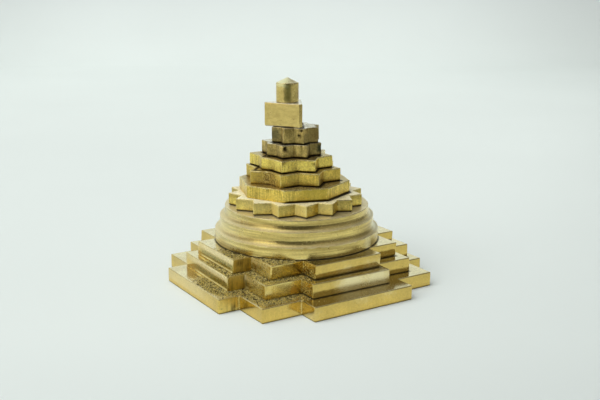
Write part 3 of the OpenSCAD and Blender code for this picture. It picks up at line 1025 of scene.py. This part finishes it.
def paper(name, glow):
    # matt paper, its tone darkened by a painted falloff of the light; the backdrop also glows with height
    # for camera, glossy and transmission rays
    material, tree = newFinish(name)
    where = objectPlace(tree)
    depth = vectors(tree, "DOT_PRODUCT", {0: where, 1: away}, "Value")
    aside = vectors(tree, "DOT_PRODUCT", {0: where, 1: right}, "Value")
    height = put(tree, "ShaderNodeSeparateXYZ", {"Vector": where}).outputs["Z"]
    ways = {"depth": depth, "aside": aside, "slope": addTimes(tree, depth, -0.5, aside)}
    tone = span(tree, noise(tree, where, 9.0, 2), 0.3, 0.7, 1.0, studio["mottle"])
    for way, start, end, rest in studio["falls"]:  # painted falloff of the light: darker all round, most on the right
        tone = times(tree, tone, span(tree, ways[way], start, end, 1.0, rest))
    beyond = span(tree, sums(tree, "ABSOLUTE", aside), studio["evenFrom"], studio["backdropWide"])
    tone = blendValue(tree, beyond, tone, 1.0)  # even again beside the backdrop
    tone = blendValue(tree, span(tree, height, 0.06, 0.15), tone, 1.0)
    corner = times(tree, span(tree, height, 0.25, 0.5), span(tree, aside, 0.0, 0.3))
    tone = times(tree, tone, addTimes(tree, corner, studio["cornerDark"], 1.0))  # painted shade, darker high on the right
    # painted shade: darker towards the top of the backdrop
    tone = times(tree, tone, span(tree, height, 0.15, 0.45, 1.0, studio["topTone"]))
    colour = blendColour(tree, 1.0, studio["paper"], tone, "MULTIPLY")
    shader = put(tree, "ShaderNodeBsdfDiffuse", {"Color": colour}).outputs[0]
    if glow:
        path = put(tree, "ShaderNodeLightPath", {}).outputs
        seen = sums(tree, "MAXIMUM", path["Is Camera Ray"], path["Is Glossy Ray"])
        seen = sums(tree, "MAXIMUM", seen, path["Is Transmission Ray"])
        seen = times(tree, seen, span(tree, height, 0.0, 0.1))
        light = put(tree, "ShaderNodeEmission", {"Color": colour, "Strength": 1.0}).outputs[0]
        shader = put(tree, "ShaderNodeMixShader", {0: seen, 1: shader, 2: light}).outputs[0]
    showAs(tree, shader)
    return material


def darkCloth():
    # black flag cloth with a faint weave
    material, tree = newFinish("flagCloth")
    colour = blendColour(tree, noise(tree, objectPlace(tree), 60.0), studio["cloth"], studio["clothThread"])
    showAs(tree, put(tree, "ShaderNodeBsdfDiffuse", {"Color": colour}).outputs[0])
    return material


def sheet(name, along, up, half, material):
    # a section in the viewing direction, carried straight across it
    spine = along[:, None] * away + up[:, None] * skyward
    points = np.concatenate([spine - right * half, spine + right * half])
    count = len(along)
    i = np.arange(count - 1)
    faces = np.column_stack([i, i + count, i + count + 1, i + 1])
    piece = addPiece(name, points, faces.tolist())
    piece.data.shade_smooth()
    piece.data.materials.append(material)
    return piece


reach = studio["floorReach"]
floorAlong = np.linspace(-reach, reach, studio["floorSteps"])
floorUp = np.full(studio["floorSteps"], studio["floorLow"])
sheet("floor", floorAlong, floorUp, reach, paper("floorPaper", False))
bow = np.linspace(0, np.pi / 2, studio["bowSteps"])
far = studio["backdropFar"]
sweep = studio["sweep"]
backAlong = np.append(far + sweep * np.sin(bow), far + sweep)
backUp = np.append(studio["backdropLow"] + sweep * (1 - np.cos(bow)), studio["backdropHigh"])
sheet("backdrop", backAlong, backUp, studio["backdropWide"], paper("backdropPaper", True))

# a dark flag behind the camera, seen only as a reflection in the metal
flagUp = np.array([0, studio["flagHigh"]])
flag = sheet("flag", np.full(2, -studio["flagFar"]), flagUp, studio["flagHalf"], darkCloth())
flag.visible_camera = False
flag.visible_diffuse = False
flag.visible_shadow = False


def studioRoom():
    # the room by direction: dim, a little paler above, a pale wall on the left and a window before it
    world = bpy.data.worlds.new("room")
    scene.world = world
    world.use_nodes = True
    tree = world.node_tree
    tree.nodes.clear()
    look = put(tree, "ShaderNodeTexCoord", {}).outputs["Generated"]
    high = put(tree, "ShaderNodeSeparateXYZ", {"Vector": look}).outputs["Z"]
    leftward = vectors(tree, "DOT_PRODUCT", {0: look, 1: -right}, "Value")
    inside = vectors(tree, "DOT_PRODUCT", {0: look, 1: studio["windowJamb"]}, "Value")
    inside = span(tree, inside, -0.02, 0.04)
    window = times(tree, inside, span(tree, leftward, 0.0, 0.3))
    window = times(tree, window, span(tree, high, 0.08, 0.3))
    wall = times(tree, span(tree, leftward, 0.1, 0.4), span(tree, high, 0.35, 0.15))
    level = span(tree, leftward, -0.5, 0.3, studio["dimLevel"], studio["roomLevel"])
    level = addTimes(tree, wall, studio["wallLevel"], level)
    level = addTimes(tree, span(tree, high, 0.25, 0.7), studio["ceilingLevel"], level)
    path = put(tree, "ShaderNodeLightPath", {}).outputs
    band = times(tree, span(tree, high, 0.55, 0.68), span(tree, high, 0.86, 0.76))
    mirrored = addTimes(tree, band, studio["bandLevel"], studio["mirrorLevel"])
    pane = blendValue(tree, path["Is Glossy Ray"], studio["windowLevel"], mirrored)  # calmer in a mirror
    level = blendValue(tree, window, level, pane)
    level = blendValue(tree, path["Is Camera Ray"], level, 1.0)
    colour = blendColour(tree, path["Is Camera Ray"], studio["room"], studio["paper"])  # seen as paper
    showAs(tree, put(tree, "ShaderNodeBackground", {"Color": colour, "Strength": level}).outputs[0], "World")


studioRoom()

keyData = bpy.data.lights.new("key", "SUN")
keyData.energy = studio["keyPower"]
keyData.angle = math.radians(studio["keyAngle"])
key = bpy.data.objects.new("key", keyData)
key.rotation_euler = (math.radians(studio["keyTilt"]), 0, math.radians(studio["keyTurn"]))
key.visible_glossy = False
scene.collection.objects.link(key)

cameraData = bpy.data.cameras.new("camera")
cameraData.lens = studio["lens"]
cameraData.sensor_width = studio["sensor"]
cameraData.clip_start = studio["nearest"]
cameraData.clip_end = studio["farthest"]
camera = bpy.data.objects.new("camera", cameraData)
camera.location = studio["cameraPlace"]
camera.rotation_euler = [math.radians(turn) for turn in studio["cameraTurn"]]
scene.collection.objects.link(camera)
scene.camera = camera
print("studio set")
